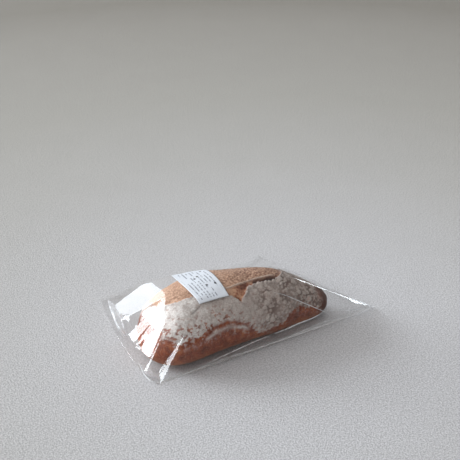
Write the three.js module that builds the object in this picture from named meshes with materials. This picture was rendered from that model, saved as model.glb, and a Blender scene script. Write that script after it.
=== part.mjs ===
// A short, wide baguette in its clear film bag, with a paper label stuck on the bag.
// Millimetres, +Z up. +X runs along the loaf, from the bag's open mouth to its sealed end,
// and +Y from the side that the loaf lies against to the slack side.
import * as THREE from "three";
import { ConvexHull } from "three/addons/math/ConvexHull.js";

// ---- driving dimensions ----
const BAG_LENGTH = 274;
const BAG_WIDTH = 170;
const FILM = 0.5; // far thicker than real film, so that the bag is a solid shell
const FLAT_GAP = 0.7; // between the two layers where the bag lies flat
const FILM_CLEARANCE = 2.2; // from the loaf's even surface to the film's inside, room for lumps of crust
const FOLD_CLEARANCE = 1.2; // the same at the bottom of a fold
const SEAL_BAND = 5; // where the two layers are one, at the sealed end
const EDGE_INSET = 0.8; // the film's thickness at the folded long edges
const WAIST_IN = 36; // how far the slack side is drawn in beside the loaf
const WAIST_START = 48; // from the loaf's line, where the slack side begins

const LOAF_LENGTH = 215;
const LOAF_CENTRE = { x: -20.5, y: -38 };
const LOAF_BASE = FILM + 0.4; // the underside, just clear of the bag's lower layer
const WIDEST = 0.4; // share of the height at which the loaf is widest
const LEFT_ROUND = 0.17; // share of the length that each end takes to round off
const RIGHT_ROUND = 0.2;
// The upper left end slopes down to its tip: height of the slope where it starts, and its rise along X
const LEFT_SLOPE = { x: -95, z: 58, rise: 0.88, blend: 2 };

const LABEL = { along: 38, across: 58, thickness: 0.4, lift: 0.35 };
const LABEL_CENTRE = { x: -54, y: -33 };
const PROP = { x: -75, y: -3, z: 62 }; // the stiff label's back corner holds the film up off the loaf

// The loaf's body before its ends are rounded: share of the length, sideways offset, half width, height
const LOAF_BODY = [
  [0.0, -4, 42, 53.5],
  [0.12, -2.5, 43, 57.5],
  [0.25, 1, 46.5, 63],
  [0.42, 3, 46.5, 65],
  [0.58, -1, 42, 62],
  [0.7, -4.5, 36.5, 59],
  [0.8, -7, 30.5, 51.5],
  [0.9, -13.5, 25, 40.5],
  [1.0, -18, 22, 37],
];

// The front edge of the opened cut, from the loaf's centre: two slashes that meet in a notch, [x, y]
const CUT_EDGE = [
  [-100, 6],
  [-77, 0],
  [-67, -8],
  [-56, -8.5],
  [-35, -14],
  [-13, -23],
  [-7, -31],
  [0, -25],
  [10, -17.5],
  [26, -17],
  [40, -18.5],
  [50, -12],
  [59, -2],
];
// Across the cut, from its front edge: the torn lip stands up before it and the cut dips behind it
const LIP = { height: 1.5, at: -3.5, width: 4 };
const DIP = { height: -2.0, at: 4.5, width: 6 };

// Plan of the bag's two long edges, from the mouth to the sealed end
const EDGE = {
  frontMouth: new THREE.Vector2(-0.472 * BAG_LENGTH, -0.5 * BAG_WIDTH),
  frontSeal: new THREE.Vector2(0.5 * BAG_LENGTH, -0.485 * BAG_WIDTH),
  backMouth: new THREE.Vector2(-0.448 * BAG_LENGTH, 0.5 * BAG_WIDTH),
  backSeal: new THREE.Vector2(0.29 * BAG_LENGTH, 0.44 * BAG_WIDTH),
};
const MOUTH_BULGE = 0.034 * BAG_LENGTH; // the mouth's edge bows out past the line between its corners
const MOUTH_PLACES = [0, 0.12, 0.3, 0.5, 0.7, 1]; // shares of the mouth where its edge is held
const AXIS_SHARE = 0.28; // the loaf's line, as a share of the way from the front edge to the back edge

// Folds that fan out from the loaf's shoulder to the mouth: the angle over the bag from its front edge
// and the half width, both in degrees, and the depth
const MOUTH_FOLDS = [
  [26, 9, 2.2],
  [58, 10, 3.0],
  [92, 9, 2.5],
  [121, 13, 6.0],
  [150, 9, 2.5],
];
const FOLD_START = 0.19; // shares of the bag's length, from the mouth
const FOLD_DEEPEST = 0.07;

// ---- mesh density ----
const LOAF_STATIONS = 44;
const LOAF_RING = 36;
const BAG_STATIONS = 30;
const BAG_ACROSS = 30;
const HULL_SAMPLES = 24;
const ARC_SAMPLES = 140;
const LABEL_COLUMNS = 8;
const LABEL_ROWS = 14;

// ---- helpers ----
const { lerp, smoothstep, clamp, degToRad } = THREE.MathUtils;
const vector = (x, y, z) => new THREE.Vector3(x, y, z);
const softMinimum = (a, b, blend) => -blend * Math.log(Math.exp(-a / blend) + Math.exp(-b / blend));
const signedPower = (value, power) => Math.sign(value) * Math.abs(value) ** power;

// A smooth curve through the rows of a table whose first column rises: the other columns' values at x.
function along(table, x) {
  const last = table.length - 1;
  let i = 0;
  while (i < last - 1 && table[i + 1][0] < x) i += 1;
  const [a, b] = [table[i], table[i + 1]];
  const [before, after] = [table[Math.max(i - 1, 0)], table[Math.min(i + 2, last)]];
  const span = b[0] - a[0];
  const s = clamp((x - a[0]) / span, 0, 1);
  return a.slice(1).map((start, k) => {
    const end = b[k + 1];
    const slopeA = ((end - before[k + 1]) / (b[0] - before[0])) * span;
    const slopeB = ((after[k + 1] - start) / (after[0] - a[0])) * span;
    const bend = slopeA * s * (1 - s) ** 2 - slopeB * s * s * (1 - s);
    return lerp(start, end, s * s * (3 - 2 * s)) + bend;
  });
}

function geometryOf(points, faces) {
  const geometry = new THREE.BufferGeometry().setFromPoints(points);
  geometry.setIndex(faces.flat());
  geometry.computeVertexNormals();
  return geometry;
}

// Collects triangles, a quadrilateral at a time.
function faceList() {
  const faces = [];
  const quad = (a, b, c, d) => faces.push([a, b, c], [a, c, d]);
  return { faces, quad };
}

// ---- the loaf ----

// How far an end has opened out, 0 at its tip and 1 where the body is full.
function rounding(share, reach) {
  return share >= reach ? 1 : Math.sqrt(1 - (1 - share / reach) ** 2);
}

// How far the crust stands out at a place on top, from the loaf's centre.
function cutRelief(x, y) {
  const within = smoothstep(x, -102, -84) * (1 - smoothstep(x, 50, 62));
  const past = y - along(CUT_EDGE, x)[0];
  const wave = ({ height, at, width }) => height * Math.exp(-(((past - at) / width) ** 2));
  return within * (wave(LIP) + wave(DIP));
}

// A point on the crust: share of the length, and angle round the section from the back over the top.
// Where grow is more than 0, it is on the even surface without the cut, grown by that much.
function loafPoint(share, angle, grow = 0) {
  const [offset, halfWidth, height] = along(LOAF_BODY, share);
  const widest = WIDEST * height;
  const open = rounding(share, LEFT_ROUND) * rounding(1 - share, RIGHT_ROUND);
  const [c, s] = [Math.cos(angle), Math.sin(angle)];
  const x = (share - 0.5) * LOAF_LENGTH;
  const y = offset + (halfWidth * open + grow) * signedPower(c, 0.9);
  let z = widest - (widest + 2) * Math.sqrt(open) * Math.abs(s) ** 0.6;
  if (s > 0) {
    z = widest + ((height - widest) * open + grow) * s ** 0.95;
    const { x: start, z: top, rise, blend } = LEFT_SLOPE;
    const roof = top + grow * Math.hypot(1, rise) + rise * (LOAF_CENTRE.x + x - start);
    z = Math.min(z, softMinimum(z, roof, blend));
    if (grow === 0) z += s * open * cutRelief(x, y);
  }
  const stretch = 1 + (2 * grow) / LOAF_LENGTH;
  return vector(LOAF_CENTRE.x + x * stretch, LOAF_CENTRE.y + y, LOAF_BASE + Math.max(z, 0));
}

function loafGeometry() {
  const points = [loafPoint(0, 0)];
  for (let i = 1; i < LOAF_STATIONS; i += 1) {
    const share = (1 - Math.cos((Math.PI * i) / LOAF_STATIONS)) / 2;
    for (let k = 0; k < LOAF_RING; k += 1) points.push(loafPoint(share, (2 * Math.PI * k) / LOAF_RING));
  }
  points.push(loafPoint(1, 0));
  const tip = points.length - 1;
  const at = (i, k) => 1 + (i - 1) * LOAF_RING + (k % LOAF_RING);
  const { faces, quad } = faceList();
  for (let k = 0; k < LOAF_RING; k += 1) {
    faces.push([0, at(1, k + 1), at(1, k)]);
    for (let i = 1; i < LOAF_STATIONS - 1; i += 1) {
      quad(at(i, k), at(i, k + 1), at(i + 1, k + 1), at(i + 1, k));
    }
    faces.push([tip, at(LOAF_STATIONS - 1, k), at(LOAF_STATIONS - 1, k + 1)]);
  }
  return geometryOf(points, faces);
}

// ---- the bag ----

// The corners of the bag's plan where a side of the film lies flat: its outside, or its inside, which
// stops short of the folded edges and the seal but runs out through the mouth.
function outline(inside) {
  const inset = inside ? EDGE_INSET : 0;
  const seal = inside ? SEAL_BAND : 0;
  const { frontMouth, frontSeal, backMouth, backSeal } = EDGE;
  const places = MOUTH_PLACES.map((share) => {
    const bow = MOUTH_BULGE * Math.sin(Math.PI * share ** 0.75) + inset;
    const y = lerp(frontMouth.y + inset, backMouth.y - inset, share);
    return [lerp(frontMouth.x, backMouth.x, share) - bow, y];
  });
  places.push([frontSeal.x - seal, frontSeal.y + inset], [backSeal.x - seal, backSeal.y - inset]);
  return places;
}

// The upper half of the loaf, grown all round.
function grownLoaf(grow) {
  const points = [];
  for (let i = 0; i <= HULL_SAMPLES; i += 1) {
    for (let k = 0; k <= HULL_SAMPLES; k += 1) {
      points.push(loafPoint(i / HULL_SAMPLES, (Math.PI * k) / HULL_SAMPLES, grow));
    }
  }
  return points;
}

// The taut shape of a side of the film: the hull of the grown loaf, the prop and the flat outline.
function tautHull(inside) {
  const film = inside ? FILM : 0;
  const grow = FILM_CLEARANCE + FILM - film;
  const points = grownLoaf(grow);
  points.push(vector(PROP.x, PROP.y, PROP.z + grow));
  for (const [x, y] of outline(inside)) {
    points.push(vector(x, y, film), vector(x, y, 2 * FILM + FLAT_GAP - film));
  }
  return new ConvexHull().setFromPoints(points);
}

// What the folds may not cut into: the loaf down to the surface below it.
function guardHull(inside) {
  const points = grownLoaf(FOLD_CLEARANCE + (inside ? 0 : FILM));
  const shadow = points.map((point) => point.clone().setZ(0));
  return new ConvexHull().setFromPoints([...points, ...shadow]);
}

const OUTSIDE = { hull: tautHull(false), guard: guardHull(false), bottom: 0 };
const INSIDE = { hull: tautHull(true), guard: guardHull(true), bottom: FILM };

const frontAt = (u) => EDGE.frontMouth.clone().lerp(EDGE.frontSeal, u);
const backAt = (u) => EDGE.backMouth.clone().lerp(EDGE.backSeal, u);

// At share u of the bag's length, a ray from the middle of its section, turned up from the front edge.
function sectionRay(u, angle) {
  const across = backAt(u).sub(frontAt(u));
  const middle = frontAt(u).addScaledVector(across, AXIS_SHARE);
  const bow = 0.9 * MOUTH_BULGE * Math.max(0, 1 - u / 0.2);
  across.normalize().multiplyScalar(-Math.cos(angle));
  const origin = vector(middle.x - bow, middle.y, FILM + FLAT_GAP / 2);
  return new THREE.Ray(origin, vector(across.x, across.y, Math.sin(angle)));
}

const leaves = (hull, ray) => hull.intersectRay(ray, new THREE.Vector3());

// Angles that cut the outer section at u into pieces of equal length.
function evenAngles(u) {
  const angles = [];
  const lengths = [0];
  let previous = null;
  for (let k = 0; k <= ARC_SAMPLES; k += 1) {
    angles.push((Math.PI * k) / ARC_SAMPLES);
    const point = leaves(OUTSIDE.hull, sectionRay(u, angles[k]));
    if (previous) lengths.push(lengths[k - 1] + point.distanceTo(previous));
    previous = point;
  }
  const even = [];
  let k = 0;
  for (let j = 0; j <= BAG_ACROSS; j += 1) {
    const wanted = (lengths[ARC_SAMPLES] * j) / BAG_ACROSS;
    while (k < ARC_SAMPLES - 1 && lengths[k + 1] < wanted) k += 1;
    const s = (wanted - lengths[k]) / (lengths[k + 1] - lengths[k]);
    even.push(lerp(angles[k], angles[k + 1], s));
  }
  return even;
}

function foldDepth(u, angle) {
  let depth = 0;
  for (const [at, halfWidth, deepest] of MOUTH_FOLDS) {
    depth += deepest * Math.max(0, 1 - Math.abs(angle - degToRad(at)) / degToRad(halfWidth));
  }
  return depth * smoothstep(u, 0.005, FOLD_DEEPEST) * (1 - smoothstep(u, FOLD_DEEPEST, FOLD_START));
}

// How far the slack side is drawn in at a place, most at the bag's middle.
function drawnIn(u, y) {
  const start = LOAF_CENTRE.y + WAIST_START;
  const share = clamp((y - start) / (backAt(u).y - start), 0, 1);
  return WAIST_IN * Math.sin(Math.PI * u ** 0.9) ** 1.5 * share;
}

function filmPoint({ hull, guard }, u, angle) {
  const ray = sectionRay(u, angle);
  const point = leaves(hull, ray);
  const guarded = leaves(guard, ray);
  const room = guarded ? point.distanceTo(guarded) : 0.1 * point.distanceTo(ray.origin);
  point.addScaledVector(ray.direction, -Math.min(foldDepth(u, angle), room));
  point.y -= drawnIn(u, point.y);
  return point;
}

// A side of the film as one ring of points at each station: over the top, then back along the bottom.
function filmRings(side, stations) {
  return stations.map(({ u, angles }) => {
    const top = angles.map((angle) => filmPoint(side, u, angle));
    const [front, back] = [top[0], top[BAG_ACROSS]];
    const under = top.map((_, j) => back.clone().lerp(front, j / BAG_ACROSS).setZ(side.bottom));
    return [...top, ...under];
  });
}

function bagGeometry() {
  const stations = [];
  for (let i = 0; i <= BAG_STATIONS; i += 1) {
    const even = i / BAG_STATIONS;
    const eased = (1 - Math.cos(Math.PI * even)) / 2;
    const u = lerp(0.002, 0.998, lerp(even, eased, 0.45));
    stations.push({ u, angles: evenAngles(u) });
  }
  const unsealed = stations.filter(({ u }) => u < 1 - (1.6 * SEAL_BAND) / BAG_LENGTH);
  const outer = filmRings(OUTSIDE, stations);
  const inner = filmRings(INSIDE, unsealed);
  const around = 2 * (BAG_ACROSS + 1);
  const outerAt = (i, k) => i * around + (k % around);
  const innerAt = (i, k) => (outer.length + i) * around + (k % around);
  const { faces, quad } = faceList();
  for (let k = 0; k < around; k += 1) {
    for (let i = 0; i < outer.length - 1; i += 1) {
      quad(outerAt(i, k), outerAt(i + 1, k), outerAt(i + 1, k + 1), outerAt(i, k + 1));
    }
    for (let i = 0; i < inner.length - 1; i += 1) {
      quad(innerAt(i, k), innerAt(i, k + 1), innerAt(i + 1, k + 1), innerAt(i + 1, k));
    }
    quad(outerAt(0, k), outerAt(0, k + 1), innerAt(0, k + 1), innerAt(0, k));
  }
  for (let j = 0; j < BAG_ACROSS; j += 1) {
    const strip = [j, around - 1 - j, around - 2 - j, j + 1];
    quad(...strip.map((k) => outerAt(outer.length - 1, k)));
    quad(...strip.toReversed().map((k) => innerAt(inner.length - 1, k)));
  }
  return geometryOf([...outer.flat(), ...inner.flat()], faces);
}

// ---- the label ----

// The film's outside over a place in plan.
function onFilm(x, y) {
  return leaves(OUTSIDE.hull, new THREE.Ray(vector(x, y, 1), vector(0, 0, 1)));
}

// One line of the label across the loaf, its points evenly spaced along the film from the middle out.
function labelLine(x) {
  const step = LABEL.across / LABEL_ROWS;
  const line = [onFilm(x, LABEL_CENTRE.y)];
  for (let j = 0; j < LABEL_ROWS / 2; j += 1) {
    const [first, last] = [line[0], line.at(-1)];
    const slopeBefore = onFilm(x, first.y - 1).z - first.z;
    const slopeAfter = onFilm(x, last.y + 1).z - last.z;
    line.unshift(onFilm(x, first.y - step / Math.hypot(1, slopeBefore)));
    line.push(onFilm(x, last.y + step / Math.hypot(1, slopeAfter)));
  }
  return line;
}

function labelGeometry() {
  const under = [];
  for (let i = 0; i <= LABEL_COLUMNS; i += 1) {
    const line = labelLine(LABEL_CENTRE.x + (i / LABEL_COLUMNS - 0.5) * LABEL.along);
    under.push(line.map(({ x, y, z }) => vector(x, y, z + LABEL.lift)));
  }
  const over = under.map((line) => line.map(({ x, y, z }) => vector(x, y, z + LABEL.thickness)));
  const wide = LABEL_ROWS + 1;
  const a = (i, j) => i * wide + j;
  const b = (i, j) => a(i + LABEL_COLUMNS + 1, j);
  const { faces, quad } = faceList();
  for (let i = 0; i < LABEL_COLUMNS; i += 1) {
    for (let j = 0; j < LABEL_ROWS; j += 1) {
      quad(a(i, j), a(i, j + 1), a(i + 1, j + 1), a(i + 1, j));
      quad(b(i, j), b(i + 1, j), b(i + 1, j + 1), b(i, j + 1));
    }
    quad(a(i, 0), a(i + 1, 0), b(i + 1, 0), b(i, 0));
    quad(a(i, LABEL_ROWS), b(i, LABEL_ROWS), b(i + 1, LABEL_ROWS), a(i + 1, LABEL_ROWS));
  }
  for (let j = 0; j < LABEL_ROWS; j += 1) {
    const end = LABEL_COLUMNS;
    quad(a(0, j), b(0, j), b(0, j + 1), a(0, j + 1));
    quad(a(end, j), a(end, j + 1), b(end, j + 1), b(end, j));
  }
  return geometryOf([...under.flat(), ...over.flat()], faces);
}

// ---- the object ----
function piece(name, geometry, color, roughness, extra = {}) {
  const material = new THREE.MeshStandardMaterial({ color, roughness, metalness: 0, ...extra });
  const mesh = new THREE.Mesh(geometry, material);
  mesh.name = name;
  return mesh;
}

const bagged = new THREE.Group();
bagged.add(
  piece("loaf", loafGeometry(), 0xa8673f, 0.85),
  piece("bag_film", bagGeometry(), 0xe8edf2, 0.1, { transparent: true, opacity: 0.2 }),
  piece("label", labelGeometry(), 0xdfe4ee, 0.6),
);

// The origin is the centre of the whole object's plan, on the surface that the bag lies on.
const extent = new THREE.Box3().setFromObject(bagged);
const centre = extent.getCenter(new THREE.Vector3());
bagged.position.set(-centre.x, -centre.y, -extent.min.z);

const baguette = new THREE.Group();
baguette.add(bagged);

export default baguette;
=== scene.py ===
"""A baguette in its clear film bag, with a paper label stuck on the bag."""
import math

import bmesh
import bpy
import numpy as np
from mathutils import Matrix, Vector, noise
from mathutils.bvhtree import BVHTree


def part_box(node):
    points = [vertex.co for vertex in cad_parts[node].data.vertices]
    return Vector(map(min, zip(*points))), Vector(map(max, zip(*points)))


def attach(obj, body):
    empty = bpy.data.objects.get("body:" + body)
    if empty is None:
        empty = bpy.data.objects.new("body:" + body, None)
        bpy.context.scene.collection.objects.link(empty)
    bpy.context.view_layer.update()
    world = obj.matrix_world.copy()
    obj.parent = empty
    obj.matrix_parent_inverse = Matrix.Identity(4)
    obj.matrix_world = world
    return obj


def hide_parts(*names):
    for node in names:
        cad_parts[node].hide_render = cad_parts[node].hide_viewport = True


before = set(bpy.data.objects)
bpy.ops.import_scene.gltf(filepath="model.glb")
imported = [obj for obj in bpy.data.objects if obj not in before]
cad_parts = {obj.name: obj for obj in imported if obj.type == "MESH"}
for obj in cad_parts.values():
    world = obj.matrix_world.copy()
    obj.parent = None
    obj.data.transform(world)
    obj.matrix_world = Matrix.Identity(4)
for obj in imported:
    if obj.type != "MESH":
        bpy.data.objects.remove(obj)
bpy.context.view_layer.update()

# Shapes are worked out in millimetres and made in metres.
MM = 0.001


def box_mm(node):
    low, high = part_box(node)
    return np.array(low) / MM, np.array(high) / MM


LOAF_LOW, LOAF_HIGH = box_mm("loaf")
BAG_LOW, BAG_HIGH = box_mm("bag_film")
LABEL_LOW, LABEL_HIGH = box_mm("label")
LOAF_LENGTH = LOAF_HIGH[0] - LOAF_LOW[0]
# The loaf's own line: everything on the crust is placed from it.
LINE_X = (LOAF_LOW[0] + LOAF_HIGH[0]) / 2
LINE_Y = LOAF_LOW[1] + 0.478 * (LOAF_HIGH[1] - LOAF_LOW[1])

# ---- camera and light ----
VIEW_AZIMUTH = -29.0
VIEW_ELEVATION = 30.0
VIEW_DISTANCE = 950.0
LENS = 70.0
SENSOR = 36.0
AIM = np.array([LINE_X + 4.5, LINE_Y, 30.0])
AIM_PLACE = (0.013, -0.161)  # of the picture's width, from its middle

# Windows, three behind the bag and one at its right: direction in plan from +X, elevation, width,
# height, power
WINDOWS = [
    (106.0, 10.0, 1850.0, 1700.0, 50.0),
    (133.0, 19.0, 3200.0, 2750.0, 330.0),
    (138.0, 25.0, 1500.0, 1150.0, 62.0),
    (26.0, 10.0, 840.0, 940.0, 21.0),
]
WINDOW_DISTANCE = 6000.0
WINDOW_COLOUR = (0.88, 0.95, 1.0)
SKY = (1.0, 0.995, 0.985)
SKY_BRIGHT_SIDE = (-0.88, 0.33, 0.34)  # the room is brightest this way
SKY_SPREAD = (-0.5, 1.0)  # cosines to that side between which the room brightens
SKY_STRENGTH = (0.205, 1.09)
FLOOR_REACH = 3000.0
FLOOR_LEVEL = -0.1
PAINTED_LIGHT_MIDDLE = (0.02, -0.09, 0.0)  # middle of the pool of light painted on the floor, in metres
PAINTED_LIGHT_FADE = (0.1, 1.3)  # metres from there between which the painted light on the floor fades

# ---- crust ----
LOAF_STATIONS = 330
LOAF_TOP = 216  # points over the upper half of a section
LOAF_UNDER = 84

# The next five tables aren't worked out from the frame. A scratch program cast spots of the photo onto
# the CAD loaf: FLOUR_EDGE is mostly what it printed, and the others are its places, rounded and moved.

# The front edge of the opened cut from the loaf's line: two slashes that meet in a notch, [x, y]
CUT_EDGE = [
    (-100, 6), (-77, 0), (-67, -8), (-56, -8.5), (-35, -14), (-13, -23), (-7, -31),
    (0, -25), (10, -17.5), (26, -17), (40, -18.5), (50, -12), (59, -2), (62, 8),
]
# The ridge inside the cut, where its upper, smoother band begins
RIDGE = [(-90, 6), (-60, 0), (-30, -9), (-11, -14), (22, -9), (46, -9), (56, -4), (62, 4)]
# The flour's lower edge on the front: share of the loaf's length, height
FLOUR_EDGE = [
    (0.0, 42), (0.083, 39), (0.106, 37.5), (0.141, 39.4), (0.19, 39.6), (0.243, 38), (0.288, 41),
    (0.338, 41.7), (0.39, 39), (0.431, 35), (0.496, 27), (0.553, 18.4), (0.611, 18.8), (0.688, 22.6),
    (0.732, 28.5),
    (0.786, 30.6), (0.847, 24.6), (0.901, 18.5), (0.94, 19), (1.0, 19),
]
# A crack in the flour, from the loaf's line: [x, z]
CRACK = [(-55, 38), (-42, 42), (-28, 43), (-14, 38), (-3, 32)]
# A short scrape in the flour, from the loaf's line: [x, z] at both ends
SCRAPE = [(-60.5, 56.5), (-50.5, 59.5)]

# ---- film ----
FILM_THICKNESS = 0.06
FILM_CLEARANCE = 2.4
FILM_STATIONS = 152
FILM_ACROSS = 300
FILM_UNDER = 12
AXIS_SHARE = 0.28
WAIST_IN = 36.0
WAIST_START = 48.0
FLAT_LOW = 0.2  # height of the lower layer's top, and the gap up to the upper layer
FLAT_GAP = 0.5
UNDER_HEIGHT = 0.15
FILM_RAYS = 900  # over each section of the taut shape
FILM_RIPPLE = 0.22
HULL_EVERY = (3, 4)  # steps along and round the crust between the points that the taut film rests on
CRUST_NEAR = 6.0  # film this close to the crust is kept CRUST_GAP off it
CRUST_GAP = 0.5
# The bag's flat corners, as shares of its box
FRONT_MOUTH = (0.020, 0.008)
FRONT_SEAL = (0.999, 0.022)
BACK_MOUTH = (0.042, 0.999)
BACK_SEAL = (0.789, 0.957)
MOUTH_BULGE = 9.3
MOUTH_SHARES = (0.12, 0.3, 0.5, 0.7)  # of the mouth's edge, where its bulge is held
AXIS_BULGE = 0.9 * MOUTH_BULGE  # how far the sections' middle bulges, and the share of the bag it takes
AXIS_BULGE_END = 0.2
# The label's stiff back corner, which props the film up off the loaf
PROP = np.array([LABEL_LOW[0] - 2.0, LABEL_HIGH[1] + 1.0, LABEL_HIGH[2] - 4.6])
# Where the film's own stiffness holds it out at the mouth, from the loaf's left tip and line: two broad
# panels, the upper one and the lower one. These places aren't worked out from the frame: a scratch
# program cast spots of the photo onto the panels' planes, and they are what it printed.
MOUTH_PROPS = [
    (1.7, 68.9, 23.6), (32.2, 57.4, 49.2), (35.8, 49.5, 53.7), (35.6, 7.4, 62.8),
    (1.4, 40.4, 29.6), (3.4, 32.1, 32.9),
    (32.2, 2.3, 61.7), (-9.5, 11.5, 24.4), (-8.3, -7.6, 24.8), (-6.4, -26.5, 25.1),
    (-4.4, -35.5, 26.2), (15.4, -26.6, 44.6), (18.4, -24.5, 47.4),
]
# Straight folds in the film: start, end, half width at the end, depth inwards at the end. The starts
# and ends of the last two were printed by that program too.
FOLDS = [
    ((34, 5, 62.3), (-3.0, 22, 28.5), 12.0, 9.0),
    ((24.1, -3.1, 54.0), (-7.6, -7.2, 25.4), 2.4, 1.8),
    ((4.4, -13.2, 35.7), (-7.9, -14.1, 24.7), 3.0, 2.4),
]
FOLD_OVERRUN = 1.3  # how far along its line a fold still grows
# Pinched pleats and small facets that stand on the film, from the loaf's left tip and line: their start,
# foot at the back, crest's end and foot at the front. Places printed by such programs as well, some of
# them moved afterwards.
PLEATS = [
    ((30.1, -43.7, 48.1), (1.6, -41.5, 12.0), (-1.6, -53.0, 6.0), (3.1, -52.0, 3.3)),
    ((14.5, -28.2, 45.9), (-11.3, -35.0, 13.2), (-9.8, -38.6, 14.7), (-8.1, -39.1, 11.7)),
    ((228.8, -33.6, 21.5), (245.5, -36.9, 12.3), (263.5, -43.1, 1.6), (237.3, -41.8, 14.9)),
    ((218.3, -43.8, 15.2), (243.1, -40.7, 8.5), (263.5, -43.1, 1.6)),
    ((144.6, -46.6, 18.2), (146.0, -50.0, 20.0), (144.3, -50.8, 18.0)),
    ((-1.1, 34.5, 28.2), (3.1, 31.6, 32.3), (0.4, 25.9, 29.1)),
]
# Sharp creases and hazy rims, from the loaf's right tip and line: path, width at its middle, whiteness.
# The paths follow places that a scratch program printed for spots of the photo, moved a little.
CREASES = [
    (
        [(-79, -31.5, 56.5), (-65, -35.2, 50.5), (-50, -39.2, 40.3), (-33, -43, 28.7), (-20, -45, 19.8),
         (-15.5, -45.6, 16), (-9.2, -46.2, 6)],
        1.6, 1.0,
    ),
    ([(-17.5, -44.5, 20.2), (0, -44.3, 14.2), (25.5, -44.7, 6.5), (47, -44.3, 1.8)], 1.5, 0.9),
    ([(14.5, -33, 21.3), (30, -38, 12), (48, -43.5, 2)], 2.4, 0.9),
    (
        [(-86, -47.6, 15), (-70, -47.6, 15.6), (-54, -47.2, 17.5), (-35.5, -46.7, 17.6), (-22, -45.8, 19.8)],
        2.0, 1.0,
    ),
    ([(-165, -47.7, 6.1), (-143.5, -47.8, 9.6), (-110, -47.7, 13.6), (-86, -47.6, 15)], 1.7, 0.9),
    (
        [(-199, -47.2, 1.6), (-174, -47.1, 3.7), (-145, -46.9, 4.8), (-109, -46.5, 3.5), (-74, -46.2, 2.8),
         (-50, -46.1, 4.5), (-26, -46.1, 7.8), (-9.2, -45.9, 6)],
        1.8, 0.9,
    ),
    ([(-9.2, -45.9, 6), (12, -45.2, 1.5), (47, -44.5, 1.2)], 1.2, 0.6),
    ([(-6, -27, 33.2), (2, -29, 28.8)], 1.0, 1.0),
    ([(-214.7, 73.5, 17.5), (-219.5, 54.5, 15.2), (-220.5, 43, 10), (-217, 36, 3)], 1.2, 1.0),
    ([(-208, 103, 9), (-211, 84.5, 13), (-215, 62, 15.2), (-218, 42, 13.2), (-216, 33, 6)], 8.0, 0.42),
    ([(-222, -8, 8), (-224.5, -28, 4.5), (-222.5, -41, 2.8), (-214.5, -46.9, 1.8)], 1.3, 0.9),
    ([(-221, -14, 6), (-219, -32, 4.5), (-211, -42, 3)], 8.0, 0.22),
    ([(14, -34.5, 20.3), (26, -37.5, 13.5), (37, -40.3, 7.5), (46, -43, 2.6)], 7.0, 0.5),
    (
        [(-58, 12, 57.5), (-45.4, 3.3, 55.2), (-28.1, -8.9, 46.9), (-11.7, -22, 37.1), (12, -33, 23)],
        6.0, 0.16,
    ),
]
CREASE_STATIONS = 40
CREASE_SIDES = 6
CREASE_RISE = 0.3  # of the radius, up to the radius CREASE_RISE_FULL
CREASE_RISE_FULL = 1.2

# ---- label ----
# How far each corner is eased from the CAD label: at the right end, at the back, move
LABEL_EASED = [
    (0, 0, (2.0, 0.0, -2.5)),
    (1, 0, (-3.0, -1.5, -2.5)),
    (1, 1, (-1.0, -1.5, -3.5)),
    (0, 1, (-1.5, 0.0, 0.0)),
]
LABEL_THICKNESS = 0.15
LABEL_CLEARANCE = 0.35  # over the film's middle
LABEL_INSET = 0.004  # share of the CAD label left off at each edge
ABOVE_ALL = 200.0  # height from which rays are cast down
LABEL_ROWS = 10.0
LABEL_DASHES = [(48.0, 0.3), (7.0, 0.38)]  # steps in a row, and the share of them left blank
LABEL_DOTS = [(0.77, 0.88), (0.54, 0.70), (0.42, 0.65), (0.84, 0.36), (0.58, 0.37)]  # shares of the label
LABEL_DOT_RADIUS = 1.3
DASH_HALF = 0.17  # of a row's pitch
PRINT_REACH = 0.44  # share from the label's middle that the dashes stay inside
DASH_INK = 0.72


# ---- helpers ----
def ease(values, low, high):
    t = np.clip((values - low) / (high - low), 0, 1)
    return t * t * (3 - 2 * t)


def hill(values, middle, width):
    return np.exp(-(((values - middle) / width) ** 2))


def follow(table, x):
    places, values = np.array(table, float).T
    return np.interp(x, places, values)


def grain(points, size, seed, octaves=1, stretch=(1, 1, 1)):
    """Seeded noise from about -1 to 1 at each point, with lumps of the given size."""
    scaled = points / (size * np.array(stretch, float)) + 17.31 * seed
    if octaves == 1:
        return np.array([noise.noise(p) for p in scaled])
    return np.array([noise.fractal(p, 1.0, 2.0, octaves) for p in scaled])


def domes(points, size, seed):
    """Round seeded domes, from 0 at the rim to 1 at the top, of chance widths."""
    heights = np.zeros(len(points))
    for i, point in enumerate(points / size + 11.7 * seed):
        distances, centres = noise.voronoi(point)
        reach = 0.5 + 0.22 * math.sin(centres[0].dot((127.1, 311.7, 74.7)))
        heights[i] = 1 - min(1.0, distances[0] / reach) ** 2
    return np.sqrt(heights)


def from_segment(x, y, start, end):
    """Distance of each point from a straight line between two places."""
    run = np.array(end, float) - start
    offset = np.stack([x - start[0], y - start[1]], -1)
    t = np.clip(offset @ run / (run @ run), 0, 1)
    return np.linalg.norm(offset - t[..., None] * run, axis=-1)


def blur(grid, rows, columns, wrap):
    """A grid smoothed by a few points each way, where columns may close on themselves."""
    for axis, width in ((0, rows), (1, columns)):
        if width == 0:
            continue
        reach = 3 * width
        weights = np.exp(-0.5 * (np.arange(-reach, reach + 1) / width) ** 2)
        weights /= weights.sum()
        pad = [(0, 0)] * grid.ndim
        pad[axis] = (reach, reach)
        mode = "wrap" if wrap and axis == 1 else "edge"
        padded = np.pad(grid, pad, mode=mode)
        count = grid.shape[axis]
        grid = sum(
            w * np.take(padded, np.arange(k, k + count), axis=axis) for k, w in enumerate(weights)
        )
    return grid


def tree_of(node):
    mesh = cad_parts[node].data
    points = [v.co / MM for v in mesh.vertices]
    return BVHTree.FromPolygons(points, [p.vertices[:] for p in mesh.polygons])


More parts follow.
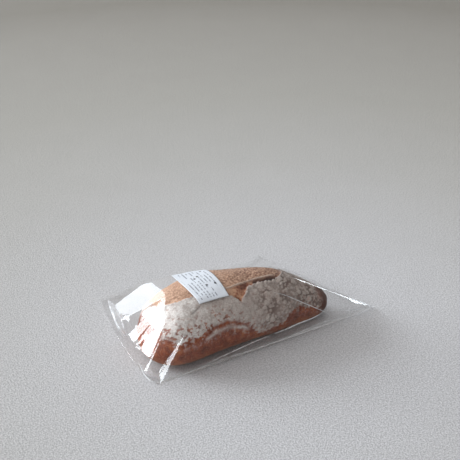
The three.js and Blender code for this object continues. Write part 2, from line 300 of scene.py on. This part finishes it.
def mesh_object(name, points, faces, slot):
    mesh = bpy.data.meshes.new(name)
    mesh.from_pydata((np.asarray(points) * MM).tolist(), [], faces)
    mesh.validate()
    mesh.shade_smooth()
    obj = bpy.data.objects.new(name, mesh)
    bpy.context.collection.objects.link(obj)
    if slot:
        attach(obj, "root")
    return obj


def give(obj, name, values):
    attribute = obj.data.attributes.new(name, "FLOAT", "POINT")
    attribute.data.foreach_set("value", np.asarray(values, np.float32))


def ring_faces(rows, columns):
    """Quadrilaterals over a grid whose columns close on themselves."""
    i, k = np.meshgrid(np.arange(rows - 1), np.arange(columns), indexing="ij")
    i, k = i.ravel(), k.ravel()
    n = (k + 1) % columns
    return np.stack([i * columns + k, (i + 1) * columns + k, (i + 1) * columns + n, i * columns + n], 1)


def grid_faces(rows, columns):
    i, k = np.meshgrid(np.arange(rows - 1), np.arange(columns - 1), indexing="ij")
    i, k = i.ravel(), k.ravel()
    corners = [i * columns + k, (i + 1) * columns + k, (i + 1) * columns + k + 1, i * columns + k + 1]
    return np.stack(corners, 1).tolist()


class Graph:
    """A material's nodes, each made and wired in one call."""

    def __init__(self, name):
        self.material = bpy.data.materials.new(name)
        self.material.use_nodes = True
        self.tree = self.material.node_tree
        self.tree.nodes.clear()

    def node(self, kind, output=0, inputs=None, **settings):
        made = self.tree.nodes.new("ShaderNode" + kind)
        for key, value in settings.items():
            setattr(made, key, value)
        for key, value in (inputs or {}).items():
            if isinstance(value, bpy.types.NodeSocket):
                self.tree.links.new(value, made.inputs[key])
            else:
                made.inputs[key].default_value = value
        return made.outputs[output]

    def attribute(self, name):
        return self.node("Attribute", "Fac", attribute_name=name)

    def math(self, operation, a, b=0.0):
        return self.node("Math", 0, {0: a, 1: b}, operation=operation)

    def noise(self, size, detail=2.0, roughness=0.5):
        inputs = {"Scale": 1 / (size * MM), "Detail": detail, "Roughness": roughness}
        inputs["Vector"] = self.node("TexCoord", "Object")
        return self.node("TexNoise", "Fac", inputs)

    def ramp(self, value, *stops):
        made = self.tree.nodes.new("ShaderNodeValToRGB")
        self.tree.links.new(value, made.inputs[0])
        elements = made.color_ramp.elements
        while len(elements) < len(stops):
            elements.new(0.5)
        for element, (place, colour) in zip(elements, stops):
            element.position = place
            element.color = (*colour, 1)
        return made.outputs[0]

    def range(self, value, low, high, to_low=0.0, to_high=1.0):
        inputs = {"Value": value, "From Min": low, "From Max": high, "To Min": to_low, "To Max": to_high}
        return self.node("MapRange", 0, inputs, interpolation_type="SMOOTHSTEP")

    def blend(self, amount, a, b, how="MIX"):
        made = self.tree.nodes.new("ShaderNodeMix")
        made.data_type, made.blend_type = "RGBA", how
        for socket, value in ((made.inputs[0], amount), (made.inputs[6], a), (made.inputs[7], b)):
            if isinstance(value, bpy.types.NodeSocket):
                self.tree.links.new(value, socket)
            elif isinstance(value, (int, float)):
                socket.default_value = value
            else:
                socket.default_value = (*value, 1)
        return made.outputs[2]

    def bump(self, height, distance, strength=1.0, normal=None):
        inputs = {"Height": height, "Distance": distance * MM, "Strength": strength}
        if normal is not None:
            inputs["Normal"] = normal
        return self.node("Bump", 0, inputs)

    def finish(self, shader):
        out = self.tree.nodes.new("ShaderNodeOutputMaterial")
        self.tree.links.new(shader, out.inputs["Surface"])
        return self.material


# ---- camera ----
def make_camera():
    a, e = math.radians(VIEW_AZIMUTH), math.radians(VIEW_ELEVATION)
    back = Vector((math.sin(a) * math.cos(e), -math.cos(a) * math.cos(e), math.sin(e)))
    right = Vector((math.cos(a), math.sin(a), 0))
    up = back.cross(right)
    span = SENSOR / LENS
    across, rise = AIM_PLACE[0] * span, AIM_PLACE[1] * span
    ray = -back + right * across + up * rise
    data = bpy.data.cameras.new("camera")
    data.lens, data.sensor_width = LENS, SENSOR
    camera = bpy.data.objects.new("camera", data)
    bpy.context.collection.objects.link(camera)
    camera.location = (Vector(AIM) - ray * VIEW_DISTANCE) * MM
    camera.rotation_euler = back.to_track_quat("Z", "Y").to_euler()
    bpy.context.scene.camera = camera


# ---- light and floor ----
def make_light():
    for number, (azimuth, elevation, width, height, power) in enumerate(WINDOWS):
        a, e = math.radians(azimuth), math.radians(elevation)
        towards = Vector((math.cos(a) * math.cos(e), math.sin(a) * math.cos(e), math.sin(e)))
        name = f"window_{number}"
        data = bpy.data.lights.new(name, "AREA")
        data.shape = "RECTANGLE"
        data.size, data.size_y = width * MM, height * MM
        data.energy = power
        data.color = WINDOW_COLOUR
        lamp = bpy.data.objects.new(name, data)
        bpy.context.collection.objects.link(lamp)
        lamp.location = towards * WINDOW_DISTANCE * MM
        lamp.rotation_euler = towards.to_track_quat("Z", "Y").to_euler()
    world = bpy.data.worlds.new("room")
    world.use_nodes = True
    background = world.node_tree.nodes["Background"]
    background.inputs["Color"].default_value = (*SKY, 1)
    nodes, links = world.node_tree.nodes, world.node_tree.links
    towards = nodes.new("ShaderNodeVectorMath")
    towards.operation = "DOT_PRODUCT"
    towards.inputs[1].default_value = SKY_BRIGHT_SIDE
    links.new(nodes.new("ShaderNodeTexCoord").outputs["Generated"], towards.inputs[0])
    strength = nodes.new("ShaderNodeMapRange")
    strength.interpolation_type = "SMOOTHSTEP"
    strength.inputs["From Min"].default_value, strength.inputs["From Max"].default_value = SKY_SPREAD
    strength.inputs["To Min"].default_value, strength.inputs["To Max"].default_value = SKY_STRENGTH
    links.new(towards.outputs["Value"], strength.inputs["Value"])
    links.new(strength.outputs[0], background.inputs["Strength"])
    bpy.context.scene.world = world


def make_floor():
    """A level floor whose colour carries painted light: it darkens gently away from the bag, cooler near it
    and warmer far off.
    """
    reach = FLOOR_REACH
    corners = ((-reach, -reach), (reach, -reach), (reach, reach), (-reach, reach))
    floor = mesh_object("floor", [(x, y, FLOOR_LEVEL) for x, y in corners], [(0, 1, 2, 3)], None)
    g = Graph("floor")
    fine = g.noise(1.6, 3.0, 0.6)
    broad = g.noise(60, 2.0, 0.5)
    colour = g.ramp(fine, (0.38, (0.38, 0.38, 0.38)), (0.62, (0.71, 0.71, 0.71)))
    colour = g.blend(0.25, colour, g.ramp(broad, (0.3, (0.52, 0.52, 0.52)), (0.7, (0.57, 0.57, 0.57))))
    # Painted light: the floor's colour darkens and warms with distance from a point by the bag
    place = g.node("TexCoord", "Object")
    away = g.node("VectorMath", "Value", {0: place, 1: PAINTED_LIGHT_MIDDLE}, operation="DISTANCE")
    away = g.node("MapRange", 0, {"Value": away, "From Min": PAINTED_LIGHT_FADE[0], "From Max": PAINTED_LIGHT_FADE[1]})
    painted_falloff = g.ramp(
        away, (0.04, (1.03, 1.02, 1.05)), (0.29, (0.84, 0.82, 0.795)), (0.5, (0.72, 0.695, 0.65)),
        (0.85, (0.58, 0.55, 0.505)), (1.0, (0.48, 0.45, 0.405)),
    )
    colour = g.blend(1.0, colour, painted_falloff, "MULTIPLY")
    shader = g.node("BsdfPrincipled", 0, {
        "Base Color": colour, "Roughness": 0.85, "Normal": g.bump(fine, 0.6, 1.0),
        "Specular IOR Level": 0.2,
    })
    floor.data.materials.append(g.finish(shader))


# ---- crust ----
def loaf_surface():
    """The CAD loaf's surface as a grid of points, and its left and right tips."""
    tree = tree_of("loaf")
    verts = np.array([v.co[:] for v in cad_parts["loaf"].data.vertices]) / MM
    left, right = verts[verts[:, 0].argmin()], verts[verts[:, 0].argmax()]
    angles = np.concatenate([
        math.pi * np.arange(LOAF_TOP) / LOAF_TOP,
        math.pi * (1 + np.arange(LOAF_UNDER) / LOAF_UNDER),
    ])
    shares = (1 - np.cos(math.pi * (np.arange(LOAF_STATIONS) + 0.5) / LOAF_STATIONS)) / 2
    radii = np.zeros((LOAF_STATIONS, len(angles)))
    starts = left + (right - left) * shares[:, None]
    for i, start in enumerate(starts):
        origin = Vector(start)
        for k, angle in enumerate(angles):
            ray = Vector((0, -math.cos(angle), math.sin(angle)))
            radii[i, k] = tree.ray_cast(origin, ray)[3] or 0.0
    radii = blur(radii, 4, 4, True)
    directions = np.stack([0 * angles, -np.cos(angles), np.sin(angles)], 1)
    grid = starts[:, None, :] + radii[:, :, None] * directions[None]
    return grid, left, right


def grid_normals(grid):
    """Outward normals of a grid whose columns close on themselves."""
    along = np.gradient(grid, axis=0)
    around = np.roll(grid, -1, axis=1) - np.roll(grid, 1, axis=1)
    normals = np.cross(around, along)
    normals /= np.linalg.norm(normals, axis=2, keepdims=True) + 1e-9
    centre = grid.mean(axis=1, keepdims=True)
    if ((grid - centre) * normals).sum() < 0:
        normals = -normals
    return normals


def make_loaf():
    grid, left, right = loaf_surface()
    normals = grid_normals(grid)
    p = grid.reshape(-1, 3)
    n = normals.reshape(-1, 3)
    x, y, z = p[:, 0] - LINE_X, p[:, 1] - LINE_Y, p[:, 2]
    share = (p[:, 0] - LOAF_LOW[0]) / LOAF_LENGTH

    broad = grain(p, 22, 1)
    medium = grain(p, 7, 2, 3)
    fine = grain(p, 2.6, 3, 3)
    grit = grain(p, 1.7, 4, 2)
    patch = grain(p, 9, 9, 5)
    speck = grain(p, 3.2, 8, 2)
    blister = domes(p, 5.6, 5)
    small_blister = domes(p, 3.0, 6)

    # The opened cut: behind its ragged front edge, over the top and down the back
    right_part = ease(x, 17, 22) * (1 - ease(x, 45, 52))
    teeth = ease(x, 2, 8) * (1 - ease(x, 48, 56)) * np.abs(np.sin(x * math.pi / 4.6 + 1.5 * medium))
    behind = y - follow(CUT_EDGE, x) + 1.6 * medium + 1.0 * fine - 1.5 * teeth
    back_low = 40 + 5 * broad + 3 * medium
    cut = ease(behind, -0.3, 0.6) * ease(x + 2 * medium, -88, -82) * (1 - ease(x + 2 * medium, 55, 61))
    cut *= np.where(y > 10, ease(z, back_low - 1.5, back_low + 1.5), 1)
    lip = np.exp(-((np.minimum(behind, 0) + 1.6) / 2.2) ** 2) * (behind < 0.6) * ease(z, 45, 52)
    lip *= ease(x, -86, -78) * (1 - ease(x, 55, 61)) * (0.4 + 0.6 * ease(x, -5, 8))
    from_ridge = y - follow(RIDGE, x) + 0.8 * medium
    upper = cut * ease(from_ridge, -0.6, 0.6)
    # The crevice under the ridge is cut into the crust and also darkened with painted shadow
    crevice = cut * right_part * ease(from_ridge, -7.6, -6.4) * (1 - ease(from_ridge, -1.2, -0.4))
    torn = cut * (1 - ease(from_ridge, -1.0, 0.5)) * ease(x, -42, -24)
    # A painted highlight along the ridge's edge, which is also raised a little
    ridge_highlight = cut * hill(from_ridge, 0.9, 0.8) * ease(x, -22, -12) * (1 - ease(x, 40, 52))

    # Flour lies on the front outside the cut, down to a ragged edge, and low on the back
    margin = z - follow(FLOUR_EDGE, share)
    by_edge = 1 - ease(margin, 4, 20)
    floury = 1 - ease(share, 0.42, 0.6)  # the smoother, whiter left part
    flour_front = ease(margin + (3.5 + 3.5 * floury) * patch + 2.0 * fine, -0.6, 1.4)
    bare = ease(speck + 0.22 * by_edge, 0.36, 0.52) * (0.25 + 0.75 * by_edge) * (0.4 + 0.6 * floury)
    flour_front *= (1 - 0.9 * bare) * (y < 10)
    dusting = ease(grain(p, 4.2, 12, 4), 0.12, 0.42) * hill(margin, -3, 7) * (y < 10)
    back_edge = 27 + 6 * broad + 4 * medium
    flour_back = np.where(y > 10, ease(z, back_edge - 2, back_edge + 2), 0)
    flour = np.maximum.reduce([flour_front, 0.8 * flour_back, 0.55 * dusting]) * (1 - cut)
    flour *= 1 - 0.9 * ease(share + 0.012 * patch, 0.905, 0.945)
    flour *= ease(share, 0.035, 0.08)
    in_crack = ease(x, -57, -52) * (1 - ease(x, -6, -1)) * (y < 0)
    crack_height = follow(CRACK, x)
    crack = in_crack * hill(z + 1.0 * medium, crack_height, 1.8)
    under_crack = in_crack * hill(z, crack_height - 4.0, 2.2)
    flour = np.maximum(flour * (1 - 0.9 * crack), 0.75 * under_crack * (1 - crack))
    scrape = (y < 0) * hill(from_segment(x, z, *SCRAPE), 0, 0.6)

    blistered = (1 - cut) * (0.22 + 0.78 * ease(share, 0.45, 0.62)) * ease(z, 12, 26)
    blistered *= 0.55 + 0.45 * ease(grain(p, 15, 14), -0.2, 0.3)
    lift = 0.7 * broad + 0.35 * medium + 0.12 * fine
    lift += lip * (1.0 + 1.2 * np.clip(medium + 0.4, 0, 1)) + 0.5 * ridge_highlight
    lift += cut * (-1.2 * hill(behind, 3.0, 3.0) + 0.25 * fine + 0.30 * grit) + 0.8 * upper
    lift += blistered * (1.9 * blister + 0.6 * small_blister) + (1 - cut) * 0.15 * grit
    lift += 0.4 * flour - 0.8 * crack - 0.5 * scrape - 4.4 * crevice
    level = ease(z, 1.5, 9)  # the underside stays flat
    tip = np.sin(math.pi * np.clip(share, 0.004, 0.996)) ** 0.25
    lift = np.clip(lift, -4.5, 2.4) * level * tip
    lift -= 0.3 * (1 - level) * (1 - small_blister)
    surface = p + n * lift[:, None]
    surface[:, 0] = np.clip(surface[:, 0], LOAF_LOW[0], LOAF_HIGH[0])
    surface[:, 2] = np.maximum(surface[:, 2], LOAF_LOW[2])

    rows, columns = grid.shape[:2]
    points = np.concatenate([surface, [left, right]])
    faces = ring_faces(rows, columns).tolist()
    tip_left, tip_right = len(surface), len(surface) + 1
    for k in range(columns):
        after = (k + 1) % columns
        faces.append((tip_left, k, after))
        faces.append((tip_right, (rows - 1) * columns + after, (rows - 1) * columns + k))
    loaf = mesh_object("crust", points, faces, "crust")
    fix_normals(loaf)

    # Lighter toward the left end, with a lighter band near the middle
    lighter_left = (1 - ease(share, 0.12, 0.62)) * (0.85 + 0.35 * patch) + 0.25 * hill(share, 0.47, 0.08)
    # Painted shade over the right end; also darker in patches low on the sides
    shade_right_dark_low = 0.95 * ease(share, 0.90, 0.955) + 0.5 * (1 - ease(z, 8, 30)) * (medium + 0.3)
    # Painted shade in the hollows between the blisters
    hollow_shade = blistered * (1 - ease(np.maximum(blister, 0.7 * small_blister), 0.12, 0.6))
    looks = {
        "flour": (flour, 0, 0), "cut": (cut, 0, 0), "torn": (torn, 0, 0),
        "crevice_shadow_and_scrape": (np.maximum(crevice, 0.5 * scrape), 0, 0), "ridge_highlight": (ridge_highlight, 0, 0), "lighter_left": (lighter_left, 1, 0),
        "shade_right_dark_low": (shade_right_dark_low, 0.3, 0.9), "hollow_shade": (hollow_shade, 0, 0), "low": (1 - ease(z, 4, 20), 0.5, 0.5),
    }
    for name, (values, at_left, at_right) in looks.items():
        give(loaf, name, np.clip(np.concatenate([values, [at_left, at_right]]), 0, 1))
    loaf.data.materials.append(crust_material())
    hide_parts("loaf")
    return loaf, grid, normals


def fix_normals(obj):
    made = bmesh.new()
    made.from_mesh(obj.data)
    bmesh.ops.recalc_face_normals(made, faces=made.faces)
    made.to_mesh(obj.data)
    made.free()


def crust_material():
    g = Graph("crust")
    flour, cut, torn, crevice_shadow_and_scrape = (g.attribute(k) for k in ("flour", "cut", "torn", "crevice_shadow_and_scrape"))
    ridge_highlight, lighter_left, shade_right_dark_low, hollow_shade, low = (g.attribute(k) for k in ("ridge_highlight", "lighter_left", "shade_right_dark_low", "hollow_shade", "low"))
    coarse = g.noise(9, 4.0, 0.6)
    fine = g.noise(1.7, 4.0, 0.65)
    dust = g.noise(0.9, 3.0, 0.7)
    crumb = g.noise(2.1, 4.0, 0.65)

    crust = g.ramp(
        coarse, (0.30, (0.11, 0.018, 0.006)), (0.52, (0.25, 0.05, 0.016)), (0.72, (0.42, 0.13, 0.045)),
    )
    crust = g.blend(g.math("MULTIPLY", low, 0.6), crust, (0.46, 0.20, 0.085))
    crust = g.blend(g.range(fine, 0.52, 0.66, 0.0, 0.55), crust, (0.42, 0.20, 0.10))
    crust = g.blend(g.range(dust, 0.30, 0.44, 0.5, 0.0), crust, (0.05, 0.012, 0.006))
    tan = g.ramp(crumb, (0.38, (0.15, 0.06, 0.033)), (0.49, (0.37, 0.19, 0.118)), (0.60, (0.67, 0.44, 0.315)))
    tan = g.blend(g.math("MULTIPLY", lighter_left, 0.55), tan, (0.75, 0.465, 0.31))
    tan = g.blend(g.range(dust, 0.34, 0.46, 0.75, 0.0), tan, (0.20, 0.08, 0.04))
    ripped = g.ramp(
        coarse, (0.40, (0.15, 0.04, 0.018)), (0.52, (0.30, 0.11, 0.055)), (0.62, (0.56, 0.32, 0.20)),
    )
    tan = g.blend(torn, tan, ripped)
    # Painted highlight along the ridge's edge
    tan = g.blend(g.math("MULTIPLY", ridge_highlight, 0.7), tan, (0.72, 0.60, 0.52))
    colour = g.blend(cut, crust, tan)
    # Painted shade: the right end darkened, and patches low on the sides
    colour = g.blend(g.math("MULTIPLY", shade_right_dark_low, 0.85), colour, (0.07, 0.022, 0.012))
    floured = g.ramp(lighter_left, (0.0, (0.54, 0.48, 0.445)), (0.45, (0.58, 0.53, 0.50)), (1.0, (0.88, 0.86, 0.84)))
    floured = g.blend(g.range(fine, 0.36, 0.62, 0.40, 0.0), floured, (0.28, 0.20, 0.16))
    # Painted shade in the hollows between the blisters
    floured = g.blend(g.math("MULTIPLY", hollow_shade, 0.75), floured, (0.13, 0.09, 0.075))
    thin = g.math("MULTIPLY", g.range(coarse, 0.35, 0.6, 0.85, 1.0), g.range(dust, 0.25, 0.5, 0.75, 1.0))
    colour = g.blend(g.math("MULTIPLY", flour, thin), colour, floured)
    # Painted shadow in the crevice under the ridge; darker along the scrape too
    colour = g.blend(g.math("MULTIPLY", crevice_shadow_and_scrape, 0.93), colour, (0.03, 0.010, 0.006))
    normal = g.bump(fine, 0.6, 0.8)
    normal = g.bump(dust, 0.25, 0.8, normal)
    rough = g.range(flour, 0.0, 1.0, 0.62, 0.95)
    shader = g.node("BsdfPrincipled", 0, {
        "Base Color": colour, "Roughness": rough, "Normal": normal, "Specular IOR Level": 0.3,
    })
    return g.finish(shader)


# ---- film ----
def bag_corner(share):
    return np.array([BAG_LOW[k] + share[k] * (BAG_HIGH[k] - BAG_LOW[k]) for k in (0, 1)])


def by_mouth(x, y, z):
    return np.array([LOAF_LOW[0] + x, LINE_Y + y, z])


def taut_hull(grid, normals):
    """The taut shape of the upper side of the film, as a search tree, and the bag's flat corners."""
    along, around = HULL_EVERY
    grown = (grid + normals * FILM_CLEARANCE)[::along, :LOAF_TOP:around].reshape(-1, 3)
    grown = grown[grown[:, 2] > 1]
    corners = [bag_corner(c) for c in (FRONT_MOUTH, FRONT_SEAL, BACK_SEAL, BACK_MOUTH)]
    mouth = []
    for share in MOUTH_SHARES:
        bow = MOUTH_BULGE * math.sin(math.pi * share ** 0.75)
        place = corners[0] + (corners[3] - corners[0]) * share
        mouth.append(place - np.array([bow, 0]))
    flat = [(x, y, h) for x, y in corners + mouth for h in (FLAT_LOW, FLAT_LOW + FLAT_GAP)]
    made = bmesh.new()
    props = [by_mouth(*p) for p in MOUTH_PROPS]
    for point in [*grown, PROP, *props, *flat]:
        made.verts.new(point)
    bmesh.ops.convex_hull(made, input=made.verts)
    tree = BVHTree.FromBMesh(made)
    made.free()
    return tree, corners


def fold_push(points, start, end, half, depth):
    """How far a straight V-shaped fold, which widens and deepens from its start, moves each point."""
    start, end = by_mouth(*start), by_mouth(*end)
    run = end - start
    t = np.clip(((points - start) @ run) / (run @ run), 0, FOLD_OVERRUN)
    away = np.linalg.norm(points - start - t[:, None] * run, axis=1)
    return depth * t * np.clip(1 - away / (half * np.maximum(t, 0.02)), 0, 1)


def make_film(grid, normals, crust_points, crust_faces):
    hull, (front_mouth, front_seal, back_seal, back_mouth) = taut_hull(grid, normals)
    guard = BVHTree.FromPolygons(crust_points.tolist(), crust_faces)
    rows = []
    even = np.linspace(0, 1, FILM_STATIONS)
    shares = 0.002 + 0.996 * (0.45 * even + 0.55 * even**2.2)
    arc = np.linspace(0, math.pi, FILM_RAYS)
    for u in shares:
        front = front_mouth + (front_seal - front_mouth) * u
        back = back_mouth + (back_seal - back_mouth) * u
        middle = front + (back - front) * AXIS_SHARE
        middle[0] -= AXIS_BULGE * max(0.0, 1 - u / AXIS_BULGE_END)
        across = (back - front) / np.linalg.norm(back - front)
        origin = Vector((*middle, FLAT_LOW + FLAT_GAP / 2))
        hits = []
        for angle in arc:
            c, s = -math.cos(angle), math.sin(angle)
            hit = hull.ray_cast(origin, Vector((across[0] * c, across[1] * c, s)))[0]
            hits.append(hit[:] if hit else origin[:])
        hits = np.array(hits)
        steps = np.concatenate([[0], np.cumsum(np.linalg.norm(np.diff(hits, axis=0), axis=1))])
        wanted = np.linspace(0, steps[-1], FILM_ACROSS)
        rows.append(np.stack([np.interp(wanted, steps, hits[:, k]) for k in range(3)], 1))
    top = np.array(rows)
    along = np.gradient(top, axis=0)
    around = np.gradient(top, axis=1)
    outward = np.cross(along, around)
    outward /= np.linalg.norm(outward, axis=2, keepdims=True) + 1e-9
    outward *= np.where(outward[..., 2:] < 0, -1, 1)
    flat = top.reshape(-1, 3)
    out = outward.reshape(-1, 3)
    push = np.zeros(len(flat))
    for fold in FOLDS:
        push -= fold_push(flat, *fold)
    loose = ease(np.abs(flat[:, 2] - 0.5), 2, 12)
    push += 0.10 * grain(flat, 9, 21, 2, (1, 3, 1)) * loose
    moved = flat + out * push[:, None]
    for i, point in enumerate(moved):
        near, normal, _, distance = guard.find_nearest(Vector(point))
        if near is None:
            continue
        gap = (Vector(point) - near).dot(normal)
        if distance < CRUST_NEAR and gap < CRUST_GAP:
            moved[i] = near + normal * CRUST_GAP
    top = moved.reshape(top.shape)
    # The slack side is drawn in, most at the bag's middle
    u = np.broadcast_to(shares[:, None], top.shape[:2])
    slack_from = LINE_Y + WAIST_START
    back_y = back_mouth[1] + (back_seal[1] - back_mouth[1]) * u
    drawn = WAIST_IN * np.sin(math.pi * u ** 0.9) ** 1.5 * ease(u, 0.08, 0.32)
    top[..., 1] -= drawn * np.clip((top[..., 1] - slack_from) / (back_y - slack_from), 0, 1)
    top[..., 2] = np.maximum(top[..., 2], FLAT_LOW + FLAT_GAP * 0.4)

    t = np.linspace(0, 1, FILM_UNDER + 2)[1:-1]
    under = top[:, -1:, :] + (top[:, :1, :] - top[:, -1:, :]) * t[None, :, None]
    under[..., 2] = UNDER_HEIGHT
    whole = np.concatenate([top, under], axis=1)
    columns = whole.shape[1]
    faces = ring_faces(FILM_STATIONS, columns).tolist()
    film = film_object("film", whole.reshape(-1, 3), faces, film_material("film", FILM_RIPPLE))
    fix_normals(film)
    make_pleats()
    make_creases()
    return top


def film_object(name, points, faces, material):
    film = mesh_object(name, points, faces, "film")
    solid = film.modifiers.new("solid", "SOLIDIFY")
    solid.thickness = FILM_THICKNESS * MM
    solid.offset = 0
    film.data.materials.append(material)
    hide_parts("bag_film")
    return film


def make_pleats():
    points, faces = [], []
    for pleat in PLEATS:
        first = len(points)
        points += [by_mouth(*place) for place in pleat]
        faces += [(first, first + k - 1, first + k) for k in range(2, len(pleat))]
    pleats = film_object("film_pleats", points, faces, film_material("film_pleat", 0.0))
    pleats.data.shade_flat()


def crease_line(path):
    """A crease's path as an even, slightly rounded line."""
    line = np.array([(LOAF_HIGH[0] + x, LINE_Y + y, z) for x, y, z in path])
    places = np.linspace(0, len(line) - 1, CREASE_STATIONS)
    line = np.stack([np.interp(places, np.arange(len(line)), line[:, k]) for k in range(3)], 1)
    return blur(line, 2, 0, False)


def crease_ring(line, k, width):
    """The points round a crease at one station, widest at the crease's middle."""
    run = line[min(k + 1, len(line) - 1)] - line[max(k - 1, 0)]
    run /= np.linalg.norm(run)
    side = np.cross(run, (0, 0, 1))
    side /= np.linalg.norm(side)
    rise = np.cross(side, run)
    radius = 0.5 * width * math.sin(math.pi * (k + 0.5) / len(line)) ** 0.7
    height = CREASE_RISE * min(radius, CREASE_RISE_FULL)
    turns = [2 * math.pi * m / CREASE_SIDES for m in range(CREASE_SIDES)]
    return [line[k] + radius * side * math.cos(t) + height * rise * math.sin(t) for t in turns]


def make_creases():
    """Slender ridges along the film's creases; the widest are faint hazes."""
    points, faces, whitened = [], [], []
    for path, width, whiteness in CREASES:
        line = crease_line(path)
        first = len(points)
        for k in range(len(line)):
            points += crease_ring(line, k, width)
        faces += (ring_faces(len(line), CREASE_SIDES) + first).tolist()
        faces.append(tuple(range(first + CREASE_SIDES - 1, first - 1, -1)))
        faces.append(tuple(range(len(points) - CREASE_SIDES, len(points))))
        whitened += [whiteness] * (len(points) - first)
    creases = mesh_object("film_creases", points, faces, "film")
    give(creases, "whitened", whitened)
    fix_normals(creases)
    creases.data.materials.append(crease_material())
    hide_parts("bag_film")


def crease_material():
    """Film whitened where it is sharply creased: it scatters the windows' light."""
    g = Graph("film_crease")
    patchy = g.math("MULTIPLY", g.range(g.noise(9, 2.0), 0.32, 0.62, 0.45, 0.95), g.attribute("whitened"))
    clear = g.node("BsdfTransparent", 0, {"Color": (1, 1, 1, 1)})
    shine = g.node("BsdfPrincipled", 0, {
        "Base Color": (0.95, 0.97, 1.0, 1), "Roughness": 0.4, "Metallic": 0.4, "Specular IOR Level": 0.8,
    })
    return g.finish(g.node("MixShader", 0, {0: patchy, 1: clear, 2: shine}))


def film_material(name, rippled):
    g = Graph(name)
    normal = g.bump(g.noise(14, 2.0, 0.5), 0.6, rippled)
    gloss = g.node("BsdfGlossy", 0, {"Color": (1, 1, 1, 1), "Roughness": 0.06, "Normal": normal})
    clear = g.node("BsdfTransparent", 0, {"Color": (1, 1, 1, 1)})
    fresnel = g.node("Fresnel", 0, {"IOR": 1.5, "Normal": normal})
    outer = g.math("SUBTRACT", 1.0, g.node("NewGeometry", "Backfacing"))
    amount = g.math("MULTIPLY", fresnel, outer)
    return g.finish(g.node("MixShader", 0, {0: amount, 1: clear, 2: gloss}))


# ---- label ----
def make_label(film_top):
    """The label of the CAD model, its corners eased down to lie on the film."""
    rows, columns = 40, 60  # along the loaf, and across it
    tree = tree_of("label")
    film_faces = grid_faces(*film_top.shape[:2])
    film = BVHTree.FromPolygons(film_top.reshape(-1, 3).tolist(), film_faces)
    v = np.linspace(LABEL_INSET, 1 - LABEL_INSET, rows)
    u = np.linspace(LABEL_INSET, 1 - LABEL_INSET, columns)
    heights = np.zeros((rows, columns))
    for i in range(rows):
        for j in range(columns):
            x = LABEL_LOW[0] + v[i] * (LABEL_HIGH[0] - LABEL_LOW[0])
            y = LABEL_LOW[1] + u[j] * (LABEL_HIGH[1] - LABEL_LOW[1])
            hit = tree.ray_cast(Vector((x, y, ABOVE_ALL)), Vector((0, 0, -1)))[0]
            heights[i, j] = hit.z if hit else np.nan
    heights = np.where(np.isnan(heights), np.nanmean(heights), heights)
    heights = blur(heights, 3, 3, False)
    x = LABEL_LOW[0] + v * (LABEL_HIGH[0] - LABEL_LOW[0])
    y = LABEL_LOW[1] + u * (LABEL_HIGH[1] - LABEL_LOW[1])
    gx, gy = np.meshgrid(x, y, indexing="ij")
    points = np.stack([gx, gy, heights - LABEL_THICKNESS], 2)
    vv, uu = np.meshgrid(v, u, indexing="ij")
    for end_v, end_u, move in LABEL_EASED:
        near = (vv if end_v else 1 - vv) * (uu if end_u else 1 - uu)
        points += near[..., None] * move
    points = points.reshape(-1, 3)
    for point in points:
        under = film.ray_cast(Vector((point[0], point[1], ABOVE_ALL)), Vector((0, 0, -1)))[0]
        if under:
            point[2] = max(point[2], under.z + LABEL_CLEARANCE)
    label = mesh_object("label", points, grid_faces(rows, columns), "label_paper")
    give(label, "along", vv.ravel())
    give(label, "across", uu.ravel())
    solid = label.modifiers.new("solid", "SOLIDIFY")
    solid.thickness = LABEL_THICKNESS * MM
    label.data.materials.append(label_material())
    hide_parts("label")


def label_material():
    g = Graph("label")
    along, across = g.attribute("along"), g.attribute("across")
    fibre = g.noise(0.8, 3.0, 0.6)
    colour = g.ramp(fibre, (0.3, (0.68, 0.72, 0.79)), (0.7, (0.76, 0.79, 0.85)))
    colour = g.blend(label_dashes(g, along, across), colour, (0.13, 0.14, 0.18))
    colour = g.blend(label_dots(g, along, across), colour, (0.03, 0.025, 0.03))
    shader = g.node("BsdfPrincipled", 0, {
        "Base Color": colour, "Roughness": 0.55, "Normal": g.bump(fibre, 0.05, 0.4),
    })
    return g.finish(shader)


def label_dashes(g, along, across):
    """Rows of short dashes of chance lengths with gaps between them: marks with no lettering."""
    row = g.math("MULTIPLY", along, LABEL_ROWS)
    off_middle = g.math("ABSOLUTE", g.math("SUBTRACT", g.math("FRACT", row), 0.5))
    ink = g.math("LESS_THAN", off_middle, DASH_HALF)
    for count, least in LABEL_DASHES:
        step = g.math("FLOOR", g.math("MULTIPLY", across, count))
        key = g.node("CombineXYZ", 0, {"X": g.math("FLOOR", row), "Y": step})
        chance = g.node("TexWhiteNoise", "Value", {"Vector": key}, noise_dimensions="2D")
        ink = g.math("MULTIPLY", ink, g.math("GREATER_THAN", chance, least))
    for value in (along, across):
        inside = g.math("LESS_THAN", g.math("ABSOLUTE", g.math("SUBTRACT", value, 0.5)), PRINT_REACH)
        ink = g.math("MULTIPLY", ink, inside)
    return g.math("MULTIPLY", ink, DASH_INK)


def label_dots(g, along, across):
    size = LABEL_HIGH - LABEL_LOW
    ink = 0.0
    for at_along, at_across in LABEL_DOTS:
        x = g.math("MULTIPLY", g.math("SUBTRACT", along, at_along), size[0])
        y = g.math("MULTIPLY", g.math("SUBTRACT", across, at_across), size[1])
        place = g.node("CombineXYZ", 0, {"X": x, "Y": y})
        away = g.node("VectorMath", "Value", {0: place}, operation="LENGTH")
        ink = g.math("MAXIMUM", ink, g.math("LESS_THAN", away, LABEL_DOT_RADIUS))
    return ink


# ---- the scene ----
def main():
    make_camera()
    make_light()
    make_floor()
    loaf, grid, normals = make_loaf()
    crust_mesh = loaf.data
    points = np.array([v.co[:] for v in crust_mesh.vertices]) / MM
    faces = [p.vertices[:] for p in crust_mesh.polygons]
    film_top = make_film(grid, normals, points, faces)
    make_label(film_top)
    scene = bpy.context.scene
    scene.view_settings.view_transform = "Standard"
    scene.cycles.transparent_max_bounces = 32


main()
